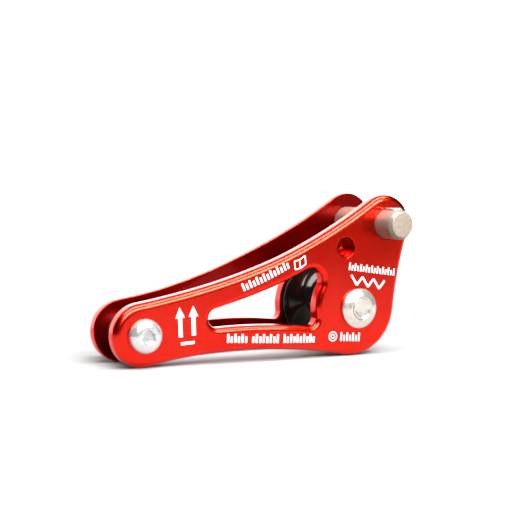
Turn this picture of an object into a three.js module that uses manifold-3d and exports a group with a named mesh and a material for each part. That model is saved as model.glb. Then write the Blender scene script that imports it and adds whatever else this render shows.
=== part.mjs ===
// Two-plate rope wrench: a hitch-tending friction device for a rope that runs between two forged,
// anodised aluminium plates, past a grooved friction wheel and a quick-release lock pin.
// Millimetres, +Z up. The device stands on the lower edges of its plates: +X runs from the tether
// end to the wheel end, and +Y goes from the front plate to the rear plate.
import * as THREE from 'three';
import Module from 'manifold-3d';
import { mergeVertices } from 'three/addons/utils/BufferGeometryUtils.js';

const wasm = await Module();
wasm.setup();

// ---- Driving dimensions -------------------------------------------------------------------------

// Places in the plates' own plane, as [x, z] from the tether bolt's axis.
const TETHER = [0, 0];
const WHEEL = [97.6, 7.3];
const LOCK_PIN = [111.9, 43.1];
const RECESS = [90.9, 33.4];

// Plate outline: three corner discs, joined by hollow arcs.
const TETHER_END_RADIUS = 13;
const HEEL = [95.6, 8.3];
const HEEL_RADIUS = 21.3;
const LOBE_RADIUS = 12.5;
const TOP_HOLLOW = 265;
const BOTTOM_HOLLOW = 220;
const RIGHT_HOLLOW = 160;

// Window in each plate: it follows the top and bottom edges, and the wheel's boss closes it.
const TOP_RAIL = 10;
const BOTTOM_RAIL = 10.3;
const WINDOW_LEFT_RADIUS = 4;
const WINDOW_LOW_RADIUS = 3.2;
const WINDOW_HIGH_RADIUS = 5.4;
const BOSS_RADIUS = 20.4;

// Plate section: flat at both ends, stepped inwards towards the tether by a smooth joggle.
const PLATE_THICKNESS = 6;
const OUTLINE_FILLET = 3;
const WINDOW_FILLET = 2.4;
const INNER_CHAMFER = 0.4;
const WHEEL_GAP = 25.6;
const JOGGLE_STEP = 5.2;
const RAMP_START = 14;
const RAMP_END = 60;
const BEND_HALF_LENGTH = 6;
const BEND_FACETS = 3;

// Fits.
const RUNNING_CLEARANCE = 0.08;
const STACK_GAP = 0.05;
const BORE_CHAMFER = 0.35;

// Friction wheel and its riveted axle.
const FLANGE_RADIUS = 19.3;
const RIM_WIDTH = 2;
const RIM_CHAMFER = 0.5;
const NECK_RADIUS = 10;
const AXLE_RADIUS = 4.5;
const AXLE_PROUD = 3.5;
const AXLE_DISH = 0.5;
const WASHER_RADIUS = 8.5;
const WASHER_EDGE = 1.1;
const WASHER_HEIGHT = 3.1;

// Blind stepped recess in each plate's outer face, with a centre mark in its floor.
const RECESS_RADIUS = 4.4;
const RECESS_STEP_DEPTH = 2.5;
const RECESS_FLOOR_RADIUS = 3.75;
const RECESS_FLOOR_DEPTH = 4.4;
const CENTRE_MARK_RADIUS = 1.5;
const CENTRE_MARK_DEPTH = 0.8;

// Tether bolt: M8 button head with a 5 mm hexagon socket, a lock nut and a spacer bush.
const BOLT_RADIUS = 4;
const BOLT_HEAD_RADIUS = 7;
const BOLT_HEAD_HEIGHT = 4.4;
const BOLT_HEAD_RIM = 0.6;
const HEX_FLATS = 5;
const HEX_DEPTH = 2.8;
const BUSH_RADIUS = 7;
const NUT_WASHER_RADIUS = 8;
const NUT_WASHER_THICKNESS = 1.6;
const NUT_FLATS = 13;
const NUT_HEIGHT = 6;
const NUT_COLLAR_RADIUS = 5.8;
const NUT_COLLAR_HEIGHT = 2;
const BOLT_TIP = 1;

// Lock pin: a half-inch clevis pin with a chamfered tip. A plunger lies in a slot near the tip, on
// two springs, and stands proud of the shank to lock the pin behind the front plate.
const PIN_RADIUS = 6.35;
const PIN_PROUD = 11.5;
const TIP_CHAMFER = [1.1, 1.8];
const PIN_HEAD_RADIUS = 8;
const PIN_HEAD_HEIGHT = 4;
const PIN_HEAD_CHAMFER = 0.8;
const HEAD_GAP = 0.2;
const PLUNGER_LENGTH = 8;
const PLUNGER_WIDTH = 4.3;
const PLUNGER_HEIGHT = 3.6;
const PLUNGER_PROUD = 0.7;
const PLUNGER_RAMP = 1.6;
const PLUNGER_OFFSET = 0.6;
const PLUNGER_GAP = 0.1;
const SLOT_DEPTH = 8;
const SPRING_RADIUS = 1.25;
const SPRING_WIRE = 0.25;
const SPRING_TURNS = 4;
const SPRING_SPACING = 4.2;

// ---- Derived places -----------------------------------------------------------------------------

const HALF_GAP = WHEEL_GAP / 2;
const OUTER_FACE = HALF_GAP + PLATE_THICKNESS;
const TETHER_OUTER_FACE = OUTER_FACE - JOGGLE_STEP;
const TETHER_HALF_GAP = HALF_GAP - JOGGLE_STEP;
const PIN_TIP = OUTER_FACE + PIN_PROUD;
const HEAD_SEAT = OUTER_FACE + HEAD_GAP;
const LENGTH = TETHER_END_RADIUS + LOCK_PIN[0] + LOBE_RADIUS;

// ---- Materials ----------------------------------------------------------------------------------

function material(color, roughness, metalness) {
  return new THREE.MeshStandardMaterial({ color, roughness, metalness });
}

const RED_ANODISED = material(0xc8150f, 0.32, 0.55);
const BLACK_ANODISED = material(0x14120f, 0.22, 0.5);
const BRIGHT_STEEL = material(0xd8d7d2, 0.25, 0.95);
const TURNED_STEEL = material(0xc9c0b2, 0.3, 0.95);
const BRUSHED_STEEL = material(0xb9aa98, 0.42, 0.9);
const DARK_STEEL = material(0x5c5f55, 0.45, 0.8);
const NYLON = material(0xe9e7df, 0.6, 0);

// ---- Outlines: rings of arcs --------------------------------------------------------------------

// Centre of the arc that touches two discs from outside. Seen from disc a, it lies to the left of
// the line to disc b when side is 1, and to the right when side is -1.
function outerTangentCentre(a, ra, b, rb, radius, side) {
  return meetingPoint(a, ra + radius, b, rb + radius, side);
}

// Where two circles meet, on the left (side 1) or the right (side -1) of the line from a to b.
function meetingPoint(a, ra, b, rb, side) {
  const span = Math.hypot(b[0] - a[0], b[1] - a[1]);
  const along = (ra * ra - rb * rb + span * span) / (2 * span);
  const across = side * Math.sqrt(Math.max(0, ra * ra - along * along));
  const ux = (b[0] - a[0]) / span;
  const uz = (b[1] - a[1]) / span;
  return [a[0] + ux * along - uz * across, a[1] + uz * along + ux * across];
}

const TOP_CENTRE = outerTangentCentre(TETHER, TETHER_END_RADIUS, LOCK_PIN, LOBE_RADIUS, TOP_HOLLOW, 1);
const BOTTOM_CENTRE = outerTangentCentre(TETHER, TETHER_END_RADIUS, HEEL, HEEL_RADIUS, BOTTOM_HOLLOW, -1);
const RIGHT_CENTRE = outerTangentCentre(HEEL, HEEL_RADIUS, LOCK_PIN, LOBE_RADIUS, RIGHT_HOLLOW, -1);
const WINDOW_TOP = TOP_HOLLOW + TOP_RAIL;
const WINDOW_BOTTOM = BOTTOM_HOLLOW + BOTTOM_RAIL;

// An arc of a loop. bulge is 1 where the arc's centre lies inside the loop and -1 where it lies
// outside; steps is how many straight pieces stand for it.
function arc(centre, radius, bulge, steps) {
  return { centre, radius, bulge, steps };
}

// Both loops run anticlockwise, and their arcs alternate: corner, hollow, corner, hollow...
const OUTLINE = [
  arc(TETHER, TETHER_END_RADIUS, 1, 14),
  arc(BOTTOM_CENTRE, BOTTOM_HOLLOW, -1, 10),
  arc(HEEL, HEEL_RADIUS, 1, 12),
  arc(RIGHT_CENTRE, RIGHT_HOLLOW, -1, 5),
  arc(LOCK_PIN, LOBE_RADIUS, 1, 12),
  arc(TOP_CENTRE, TOP_HOLLOW, -1, 14),
];

const windowLeft = meetingPoint(
  TOP_CENTRE, WINDOW_TOP + WINDOW_LEFT_RADIUS, BOTTOM_CENTRE, WINDOW_BOTTOM + WINDOW_LEFT_RADIUS, 1);
const windowLow = meetingPoint(
  BOTTOM_CENTRE, WINDOW_BOTTOM + WINDOW_LOW_RADIUS, WHEEL, BOSS_RADIUS + WINDOW_LOW_RADIUS, 1);
const windowHigh = meetingPoint(
  WHEEL, BOSS_RADIUS + WINDOW_HIGH_RADIUS, TOP_CENTRE, WINDOW_TOP + WINDOW_HIGH_RADIUS, 1);

const WINDOW = [
  arc(windowLeft, WINDOW_LEFT_RADIUS, 1, 8),
  arc(BOTTOM_CENTRE, WINDOW_BOTTOM, -1, 6),
  arc(windowLow, WINDOW_LOW_RADIUS, 1, 6),
  arc(WHEEL, BOSS_RADIUS, -1, 8),
  arc(windowHigh, WINDOW_HIGH_RADIUS, 1, 8),
  arc(TOP_CENTRE, WINDOW_TOP, -1, 8),
];

// The loop's points when every arc is moved outwards by offset (inwards when it is negative).
function loopPoints(arcs, offset) {
  const grown = arcs.map((a) => ({ ...a, radius: a.radius + a.bulge * offset }));
  const joints = grown.map((a, i) => {
    const next = grown[(i + 1) % grown.length];
    return meetingPoint(a.centre, a.radius, next.centre, next.radius, 1);
  });
  return grown.flatMap((a, i) => {
    const from = joints[(i + grown.length - 1) % grown.length];
    const start = Math.atan2(from[1] - a.centre[1], from[0] - a.centre[0]);
    const end = Math.atan2(joints[i][1] - a.centre[1], joints[i][0] - a.centre[0]);
    const turn = Math.PI * 2;
    const sweep = a.bulge * ((a.bulge * (end - start) + turn) % turn);
    return Array.from({ length: a.steps }, (_, k) => {
      const angle = start + (sweep * k) / a.steps;
      return [a.centre[0] + a.radius * Math.cos(angle), a.centre[1] + a.radius * Math.sin(angle)];
    });
  });
}

function circlePoints(centre, radius, steps) {
  return Array.from({ length: steps }, (_, k) => {
    const angle = (Math.PI * 2 * k) / steps;
    return [centre[0] + radius * Math.cos(angle), centre[1] + radius * Math.sin(angle)];
  });
}

// ---- Plates -------------------------------------------------------------------------------------

// How far the plate has stepped inwards at x: all of it at the tether, nothing at the wheel. The
// ramp between them is straight, with a rounded bend at each end.
function joggle(x) {
  const past = (corner) => {
    const s = Math.max(0, x - corner + BEND_HALF_LENGTH);
    return s < 2 * BEND_HALF_LENGTH ? s * s / (4 * BEND_HALF_LENGTH) : s - BEND_HALF_LENGTH;
  };
  return JOGGLE_STEP * (1 - (past(RAMP_START) - past(RAMP_END)) / (RAMP_END - RAMP_START));
}

// Where the plate's flat facets meet along the two bends.
const BEND_STATIONS = [RAMP_START, RAMP_END].flatMap((corner) => Array.from(
  { length: BEND_FACETS + 1 },
  (_, k) => corner + BEND_HALF_LENGTH * ((2 * k) / BEND_FACETS - 1)));

// Sections of an edge or a bore run from the inner face to the outer face, as [how far the wall is
// cut back, depth below the outer face].
function filletedSection(fillet) {
  const steps = 4;
  const round = Array.from({ length: steps + 1 }, (_, k) => {
    const angle = (Math.PI / 2) * (k / steps);
    return [fillet * (1 - Math.cos(angle)), fillet * (1 - Math.sin(angle))];
  });
  return [[INNER_CHAMFER, PLATE_THICKNESS], [0, PLATE_THICKNESS - INNER_CHAMFER], ...round];
}

const BORE_SECTION = [
  [BORE_CHAMFER, PLATE_THICKNESS],
  [0, PLATE_THICKNESS - BORE_CHAMFER],
  [0, BORE_CHAMFER],
  [BORE_CHAMFER, 0],
];

const RECESS_SECTION = [
  [CENTRE_MARK_RADIUS / 4, RECESS_FLOOR_DEPTH + CENTRE_MARK_DEPTH],
  [CENTRE_MARK_RADIUS, RECESS_FLOOR_DEPTH],
  [RECESS_FLOOR_RADIUS, RECESS_FLOOR_DEPTH],
  [RECESS_FLOOR_RADIUS, RECESS_STEP_DEPTH],
  [RECESS_RADIUS, RECESS_STEP_DEPTH],
  [RECESS_RADIUS, BORE_CHAMFER],
  [RECESS_RADIUS + BORE_CHAMFER, 0],
];

// Adds the wall that follows a loop through its section, and returns the two end rings.
function addWall(mesh, rings, inward) {
  const starts = rings.map((ring) => {
    const first = mesh.points.length;
    mesh.points.push(...ring);
    return first;
  });
  const count = rings[0].length;
  for (let layer = 0; layer + 1 < rings.length; layer += 1) {
    for (let k = 0; k < count; k += 1) {
      const a = starts[layer] + k;
      const b = starts[layer] + ((k + 1) % count);
      const c = starts[layer + 1] + k;
      const d = starts[layer + 1] + ((k + 1) % count);
      mesh.faces.push(...(inward ? [[a, c, b], [b, c, d]] : [[a, b, c], [b, d, c]]));
    }
  }
  return { inner: starts[0], outer: starts[starts.length - 1], count };
}

// Adds a flat face with holes between rings that are already in the mesh, as [first point, count].
function addFace(mesh, rings, flip) {
  const loops = rings.map(([start, count]) => Array.from({ length: count }, (_, k) => start + k));
  const flat = loops.map((loop) => loop.map(
    (i) => new THREE.Vector2(mesh.points[i][0], mesh.points[i][2])));
  const order = loops.flat();
  for (const [a, b, c] of THREE.ShapeUtils.triangulateShape(flat[0], flat.slice(1))) {
    mesh.faces.push(flip ? [order[a], order[c], order[b]] : [order[a], order[b], order[c]]);
  }
}

// Cuts every triangle that crosses the plane at x, with one new point for each edge it crosses.
function cutAtX(mesh, x) {
  const cuts = new Map();
  const cutPoint = (i, j) => {
    const key = i < j ? `${i},${j}` : `${j},${i}`;
    if (!cuts.has(key)) {
      const [a, b] = i < j ? [mesh.points[i], mesh.points[j]] : [mesh.points[j], mesh.points[i]];
      const t = (x - a[0]) / (b[0] - a[0]);
      cuts.set(key, mesh.points.length);
      mesh.points.push([x, a[1] + t * (b[1] - a[1]), a[2] + t * (b[2] - a[2])]);
    }
    return cuts.get(key);
  };
  const side = (i) => (Math.abs(mesh.points[i][0] - x) < 1e-6 ? 0 : Math.sign(mesh.points[i][0] - x));
  mesh.faces = mesh.faces.flatMap((face) => {
    const sides = face.map(side);
    if (!sides.includes(1) || !sides.includes(-1)) return [face];
    if (sides.includes(0)) {
      const k = sides.indexOf(0);
      const [p, q, r] = [face[k], face[(k + 1) % 3], face[(k + 2) % 3]];
      const m = cutPoint(q, r);
      return [[p, q, m], [p, m, r]];
    }
    const k = sides.findIndex((s, i) => s !== sides[(i + 1) % 3] && s !== sides[(i + 2) % 3]);
    const [p, q, r] = [face[k], face[(k + 1) % 3], face[(k + 2) % 3]];
    const m = cutPoint(p, q);
    const n = cutPoint(p, r);
    return [[p, m, n], [m, q, r], [m, r, n]];
  });
}

function geometryOf(mesh, mirrored) {
  const place = ([x, depth, z]) => {
    const y = OUTER_FACE - joggle(x) - depth;
    return [x, mirrored ? y : -y, z];
  };
  const geometry = new THREE.BufferGeometry();
  geometry.setAttribute('position', new THREE.Float32BufferAttribute(mesh.points.flatMap(place), 3));
  geometry.setIndex(mesh.faces.flatMap(([a, b, c]) => (mirrored ? [a, c, b] : [a, b, c])));
  return geometry;
}

// One forged plate. Its outer face is at depth 0 and its inner face at the plate's thickness.
function plateGeometry(rear) {
  const mesh = { points: [], faces: [] };
  const wall = (section, inward, ringAt) => addWall(
    mesh, section.map(([cut, depth]) => ringAt(cut).map(([x, z]) => [x, depth, z])), inward);
  const bore = (centre, pinRadius, steps) => wall(
    BORE_SECTION, true, (cut) => circlePoints(centre, pinRadius + RUNNING_CLEARANCE + cut, steps));
  const through = [
    wall(filletedSection(OUTLINE_FILLET), false, (cut) => loopPoints(OUTLINE, -cut)),
    wall(filletedSection(WINDOW_FILLET), true, (cut) => loopPoints(WINDOW, cut)),
    bore(TETHER, BOLT_RADIUS, 20),
    bore(WHEEL, AXLE_RADIUS, 20),
    bore(LOCK_PIN, PIN_RADIUS, 28),
  ];
  const recess = wall(RECESS_SECTION, true, (radius) => circlePoints(RECESS, radius, 20));
  addFace(mesh, [...through, recess].map((w) => [w.outer, w.count]), false);
  addFace(mesh, through.map((w) => [w.inner, w.count]), true);
  addFace(mesh, [[recess.inner, recess.count]], false);
  BEND_STATIONS.forEach((x) => cutAtX(mesh, x));
  return geometryOf(mesh, rear);
}

// ---- Turned pieces ------------------------------------------------------------------------------

// A piece turned about the Y axis through a place in the plates' plane. The profile lists
// [radius, y] from the front end to the rear end.
function turned(profile, [x, z], steps) {
  const geometry = new THREE.LatheGeometry(profile.map(([r, y]) => new THREE.Vector2(r, y)), steps);
  geometry.translate(x, 0, z);
  return geometry;
}

function frictionWheelGeometry() {
  const half = HALF_GAP - STACK_GAP;
  const groove = half - RIM_WIDTH;
  const depth = FLANGE_RADIUS - NECK_RADIUS;
  const radius = (groove * groove + depth * depth) / (2 * depth);
  const spread = Math.asin(groove / radius);
  const steps = 10;
  const hollow = Array.from({ length: steps + 1 }, (_, k) => {
    const angle = spread * ((2 * k) / steps - 1);
    return [NECK_RADIUS + radius * (1 - Math.cos(angle)), radius * Math.sin(angle)];
  });
  const bore = AXLE_RADIUS + RUNNING_CLEARANCE;
  return turned([
    [bore, -half],
    [FLANGE_RADIUS - RIM_CHAMFER, -half],
    [FLANGE_RADIUS, -half + RIM_CHAMFER],
    ...hollow,
    [FLANGE_RADIUS, half - RIM_CHAMFER],
    [FLANGE_RADIUS - RIM_CHAMFER, half],
    [bore, half],
    [bore, -half],
  ], WHEEL, 40);
}

function axleGeometry() {
  const end = OUTER_FACE + AXLE_PROUD;
  const lip = 0.9;
  return turned([
    [0, -end + AXLE_DISH],
    [AXLE_RADIUS - lip - AXLE_DISH, -end + AXLE_DISH],
    [AXLE_RADIUS - lip, -end],
    [AXLE_RADIUS - 0.3, -end],
    [AXLE_RADIUS, -end + 0.3],
    [AXLE_RADIUS, end - 0.3],
    [AXLE_RADIUS - 0.3, end],
    [AXLE_RADIUS - lip, end],
    [AXLE_RADIUS - lip - AXLE_DISH, end - AXLE_DISH],
    [0, end - AXLE_DISH],
  ], WHEEL, 24);
}

// A domed washer under one end of the axle, on the front (side -1) or the rear (side 1) plate.
function axleWasherGeometry(side) {
  const seat = OUTER_FACE + STACK_GAP;
  const bore = AXLE_RADIUS + RUNNING_CLEARANCE;
  const shoulder = 0.8;
  const profile = [
    [bore, seat],
    [WASHER_RADIUS, seat],
    [WASHER_RADIUS, seat + WASHER_EDGE],
    [WASHER_RADIUS - 0.5, seat + WASHER_EDGE + 0.5],
    [bore + shoulder, seat + WASHER_HEIGHT],
    [bore, seat + WASHER_HEIGHT],
    [bore, seat],
  ].map(([r, y]) => [r, side * y]);
  return turned(side > 0 ? profile : profile.reverse(), WHEEL, 28);
}

function bushGeometry() {
  const half = TETHER_HALF_GAP - STACK_GAP;
  const bore = BOLT_RADIUS + RUNNING_CLEARANCE;
  return turned([
    [bore, -half],
    [BUSH_RADIUS - 0.4, -half],
    [BUSH_RADIUS, -half + 0.4],
    [BUSH_RADIUS, half - 0.4],
    [BUSH_RADIUS - 0.4, half],
    [bore, half],
    [bore, -half],
  ], TETHER, 24);
}

// ---- Solids that need a cut ---------------------------------------------------------------------

function solid(geometry) {
  const bare = geometry.clone();
  bare.deleteAttribute('normal');
  bare.deleteAttribute('uv');
  const merged = mergeVertices(bare, 1e-5);
  return new wasm.Manifold(new wasm.Mesh({
    numProp: 3,
    vertProperties: new Float32Array(merged.attributes.position.array),
    triVerts: new Uint32Array(merged.index.array),
  }));
}

function geometryFrom(manifold) {
  const mesh = manifold.getMesh();
  const geometry = new THREE.BufferGeometry();
  geometry.setAttribute('position', new THREE.BufferAttribute(mesh.vertProperties, 3));
  geometry.setIndex(new THREE.BufferAttribute(mesh.triVerts, 1));
  return geometry;
}

// A hexagonal prism across the given flats, along Y between two depths, on the tether axis.
function hexPrism(flats, from, to) {
  const geometry = new THREE.CylinderGeometry(flats / Math.sqrt(3), flats / Math.sqrt(3), to - from, 6);
  geometry.translate(0, (from + to) / 2, 0);
  return geometry;
}

const NUT_SEAT = TETHER_OUTER_FACE + STACK_GAP + NUT_WASHER_THICKNESS + STACK_GAP;
const BOLT_END = NUT_SEAT + NUT_HEIGHT + NUT_COLLAR_HEIGHT + BOLT_TIP;

function boltGeometry() {
  const seat = TETHER_OUTER_FACE + STACK_GAP;
  const top = seat + BOLT_HEAD_HEIGHT;
  const crown = 3.4;
  const steps = 6;
  const dome = Array.from({ length: steps + 1 }, (_, k) => {
    const angle = (Math.PI / 2) * (1 - k / steps);
    return [
      crown + (BOLT_HEAD_RADIUS - crown) * Math.cos(angle),
      -(seat + BOLT_HEAD_RIM + (BOLT_HEAD_HEIGHT - BOLT_HEAD_RIM) * Math.sin(angle)),
    ];
  });
  const bolt = turned([
    [0, -top],
    ...dome,
    [BOLT_HEAD_RADIUS, -seat],
    [BOLT_RADIUS, -seat],
    [BOLT_RADIUS, BOLT_END - 0.6],
    [BOLT_RADIUS - 0.6, BOLT_END],
    [0, BOLT_END],
  ], TETHER, 28);
  const socket = hexPrism(HEX_FLATS, -top - 1, -top + HEX_DEPTH);
  return geometryFrom(solid(bolt).subtract(solid(socket)));
}

function nutGeometry() {
  const bore = turned([
    [0, NUT_SEAT - 1],
    [BOLT_RADIUS + RUNNING_CLEARANCE, NUT_SEAT - 1],
    [BOLT_RADIUS + RUNNING_CLEARANCE, NUT_SEAT + NUT_HEIGHT + 1],
    [0, NUT_SEAT + NUT_HEIGHT + 1],
  ], TETHER, 20);
  const corner = NUT_FLATS / Math.sqrt(3);
  const bevel = turned([
    [0, NUT_SEAT],
    [corner - 0.5, NUT_SEAT],
    [corner + 0.1, NUT_SEAT + 0.4],
    [corner + 0.1, NUT_SEAT + NUT_HEIGHT - 0.4],
    [corner - 0.5, NUT_SEAT + NUT_HEIGHT],
    [0, NUT_SEAT + NUT_HEIGHT],
  ], TETHER, 24);
  const hexagon = solid(hexPrism(NUT_FLATS, NUT_SEAT, NUT_SEAT + NUT_HEIGHT));
  return geometryFrom(hexagon.intersect(solid(bevel)).subtract(solid(bore)));
}

// A plain ring about the tether axis.
function ringGeometry(inner, outer, from, to) {
  return turned([[inner, from], [outer, from], [outer, to], [inner, to], [inner, from]], TETHER, 24);
}

// ---- Lock pin -----------------------------------------------------------------------------------

const PLUNGER_FRONT = -(OUTER_FACE + PLUNGER_OFFSET + PLUNGER_LENGTH);
const PLUNGER_MIDDLE = PLUNGER_FRONT + PLUNGER_LENGTH / 2;
const SLOT_FLOOR = LOCK_PIN[1] + PIN_RADIUS - SLOT_DEPTH;
const PLUNGER_TOP = LOCK_PIN[1] + PIN_RADIUS + PLUNGER_PROUD;

function lockPinGeometry() {
  const [cut, length] = TIP_CHAMFER;
  const headEnd = HEAD_SEAT + PIN_HEAD_HEIGHT;
  const pin = turned([
    [0, -PIN_TIP],
    [PIN_RADIUS - cut, -PIN_TIP],
    [PIN_RADIUS, -PIN_TIP + length],
    [PIN_RADIUS, HEAD_SEAT],
    [PIN_HEAD_RADIUS, HEAD_SEAT],
    [PIN_HEAD_RADIUS, headEnd - PIN_HEAD_CHAMFER],
    [PIN_HEAD_RADIUS - PIN_HEAD_CHAMFER, headEnd],
    [0, headEnd],
  ], LOCK_PIN, 36);
  const slot = new THREE.BoxGeometry(
    PLUNGER_WIDTH + 2 * PLUNGER_GAP, PLUNGER_LENGTH + 2 * PLUNGER_GAP, SLOT_DEPTH + 1);
  slot.translate(LOCK_PIN[0], PLUNGER_MIDDLE, SLOT_FLOOR + (SLOT_DEPTH + 1) / 2);
  return geometryFrom(solid(pin).subtract(solid(slot)));
}

// The plunger's side view has a ramp at each end, which the edge of a hole pushes it in by.
function plungerGeometry() {
  const half = PLUNGER_LENGTH / 2;
  const ramp = PLUNGER_PROUD + 0.3;
  const side = new THREE.Shape([
    new THREE.Vector2(-half, -PLUNGER_HEIGHT),
    new THREE.Vector2(half, -PLUNGER_HEIGHT),
    new THREE.Vector2(half, -ramp),
    new THREE.Vector2(half - PLUNGER_RAMP, 0),
    new THREE.Vector2(-half + PLUNGER_RAMP, 0),
    new THREE.Vector2(-half, -ramp),
  ]);
  const geometry = new THREE.ExtrudeGeometry(side, { depth: PLUNGER_WIDTH, bevelEnabled: false });
  geometry.translate(0, 0, -PLUNGER_WIDTH / 2);
  geometry.rotateX(Math.PI / 2);
  geometry.rotateZ(Math.PI / 2);
  geometry.translate(LOCK_PIN[0], PLUNGER_MIDDLE, PLUNGER_TOP);
  return geometry;
}

class Helix extends THREE.Curve {
  constructor(low, high) {
    super();
    this.low = low;
    this.high = high;
  }

  getPoint(t, target = new THREE.Vector3()) {
    const angle = t * SPRING_TURNS * Math.PI * 2;
    return target.set(
      SPRING_RADIUS * Math.cos(angle),
      SPRING_RADIUS * Math.sin(angle),
      this.low + (this.high - this.low) * t);
  }
}

// One of the two plunger springs: the front one (side -1) or the rear one (side 1).
function springGeometry(side) {
  const margin = SPRING_WIRE + 0.1;
  const low = SLOT_FLOOR + margin;
  const high = PLUNGER_TOP - PLUNGER_HEIGHT - margin;
  const wire = new THREE.Shape();
  wire.absarc(0, 0, SPRING_WIRE, 0, Math.PI * 2, false);
  const geometry = new THREE.ExtrudeGeometry(wire, {
    steps: SPRING_TURNS * 9,
    curveSegments: 4,
    bevelEnabled: false,
    extrudePath: new Helix(low, high),
  });
  geometry.translate(LOCK_PIN[0], PLUNGER_MIDDLE + (side * SPRING_SPACING) / 2, 0);
  return geometry;
}

// ---- Assembly -----------------------------------------------------------------------------------

const device = new THREE.Group();

function add(name, geometry, look) {
  const mesh = new THREE.Mesh(geometry, look);
  mesh.name = name;
  device.add(mesh);
}

add('front_plate', plateGeometry(false), RED_ANODISED);
add('rear_plate', plateGeometry(true), RED_ANODISED);
add('friction_wheel', frictionWheelGeometry(), BLACK_ANODISED);
add('wheel_axle', axleGeometry(), TURNED_STEEL);
add('axle_washer_front', axleWasherGeometry(-1), TURNED_STEEL);
add('axle_washer_rear', axleWasherGeometry(1), TURNED_STEEL);
add('tether_bolt', boltGeometry(), BRIGHT_STEEL);
add('tether_bush', bushGeometry(), DARK_STEEL);
add('tether_nut_washer', ringGeometry(
  BOLT_RADIUS + RUNNING_CLEARANCE, NUT_WASHER_RADIUS, TETHER_OUTER_FACE + STACK_GAP,
  TETHER_OUTER_FACE + STACK_GAP + NUT_WASHER_THICKNESS), BRIGHT_STEEL);
add('tether_nut', nutGeometry(), BRIGHT_STEEL);
add('tether_nut_collar', ringGeometry(
  BOLT_RADIUS + RUNNING_CLEARANCE, NUT_COLLAR_RADIUS, NUT_SEAT + NUT_HEIGHT + STACK_GAP,
  NUT_SEAT + NUT_HEIGHT + NUT_COLLAR_HEIGHT), NYLON);
add('lock_pin', lockPinGeometry(), BRUSHED_STEEL);
add('lock_pin_plunger', plungerGeometry(), BRIGHT_STEEL);
add('plunger_spring_front', springGeometry(-1), BRIGHT_STEEL);
add('plunger_spring_rear', springGeometry(1), BRIGHT_STEEL);

// The origin is under the middle of the device, from the bolt's tip to the lock pin's.
device.position.set(TETHER_END_RADIUS - LENGTH / 2, (PIN_TIP - BOLT_END) / 2, TETHER_END_RADIUS);

export default device;
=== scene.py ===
"""Looks for the rope friction device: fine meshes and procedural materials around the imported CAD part.

Lengths are in millimetres until they reach a mesh, and places are in the CAD part's own frame:
+X from the tether end to the wheel end, +Y from the front plate to the rear plate, +Z up.
"""

import math

import bmesh
import bpy
from mathutils import Matrix, Vector
from mathutils.geometry import tessellate_polygon

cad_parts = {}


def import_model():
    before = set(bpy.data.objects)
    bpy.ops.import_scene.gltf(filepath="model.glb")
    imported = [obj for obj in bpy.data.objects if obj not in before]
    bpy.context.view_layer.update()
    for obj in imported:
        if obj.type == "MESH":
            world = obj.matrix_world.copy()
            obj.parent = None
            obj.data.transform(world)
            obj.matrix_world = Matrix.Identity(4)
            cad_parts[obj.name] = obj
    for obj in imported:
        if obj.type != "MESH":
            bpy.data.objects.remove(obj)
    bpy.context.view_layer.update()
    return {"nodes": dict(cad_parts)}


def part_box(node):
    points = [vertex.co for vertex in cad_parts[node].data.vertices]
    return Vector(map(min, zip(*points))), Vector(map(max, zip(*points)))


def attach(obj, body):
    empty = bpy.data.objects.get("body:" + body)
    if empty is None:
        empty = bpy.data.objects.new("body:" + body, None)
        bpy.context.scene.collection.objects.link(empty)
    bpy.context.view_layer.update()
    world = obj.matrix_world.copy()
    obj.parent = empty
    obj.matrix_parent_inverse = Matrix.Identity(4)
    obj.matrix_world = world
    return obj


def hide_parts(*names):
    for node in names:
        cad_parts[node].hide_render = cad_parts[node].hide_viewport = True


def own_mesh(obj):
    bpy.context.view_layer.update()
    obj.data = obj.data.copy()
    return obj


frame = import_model()

MM = 0.001


# ---- Places and sizes ---------------------------------------------------------------------------


def axis_of(node):
    """Where a turned node's axis crosses the plates' plane, as (x, z) in millimetres."""
    low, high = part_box(node)
    return ((low.x + high.x) / 2 / MM, (low.z + high.z) / 2 / MM)


def shifted(place, dx, dz):
    return (place[0] + dx, place[1] + dz)


TETHER = axis_of("tether_bush")
WHEEL = axis_of("friction_wheel")
LOCK_PIN = axis_of("lock_pin")
RECESS = shifted(WHEEL, -6.7, 26.1)
HEEL = shifted(WHEEL, -2.0, 1.0)

MIDDLE_Y = sum(corner.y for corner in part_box("friction_wheel")) / 2 / MM

TETHER_END_RADIUS = 13.0
HEEL_RADIUS = 21.3
LOBE_RADIUS = 12.5
TOP_HOLLOW = 265.0
BOTTOM_HOLLOW = 220.0
RIGHT_HOLLOW = 160.0

WINDOW_TOP = TOP_HOLLOW + 10.0
WINDOW_BOTTOM = BOTTOM_HOLLOW + 10.3
WINDOW_LEFT_RADIUS = 4.0
WINDOW_LOW_RADIUS = 3.2
WINDOW_HIGH_RADIUS = 5.4
BOSS_RADIUS = 20.4

PLATE_THICKNESS = 6.0
OUTLINE_FILLET = 3.0
WINDOW_FILLET = 2.4
INNER_EDGE = 0.4
HALF_GAP = 12.8
OUTER_FACE = HALF_GAP + PLATE_THICKNESS
JOGGLE_STEP = 5.2
RAMP_START = TETHER[0] + 14.0
RAMP_END = TETHER[0] + 60.0
BEND_HALF_LENGTH = 6.0

CLEARANCE = 0.08
STACK_GAP = 0.05
BORE_CHAMFER = 0.35
RECESS_RADIUS = 4.4
RECESS_STEP_DEPTH = 2.5
RECESS_FLOOR_RADIUS = 3.75
RECESS_FLOOR_DEPTH = 4.4
CENTRE_MARK_RADIUS = 1.5
CENTRE_MARK_DEPTH = 0.8

WHEEL_RADIUS = 19.3
WHEEL_NECK_RADIUS = 10.0
WHEEL_RIM = 2.0
AXLE_RADIUS = 4.5
AXLE_PROUD = 3.5
AXLE_WASHER_RADIUS = 8.5

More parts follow.
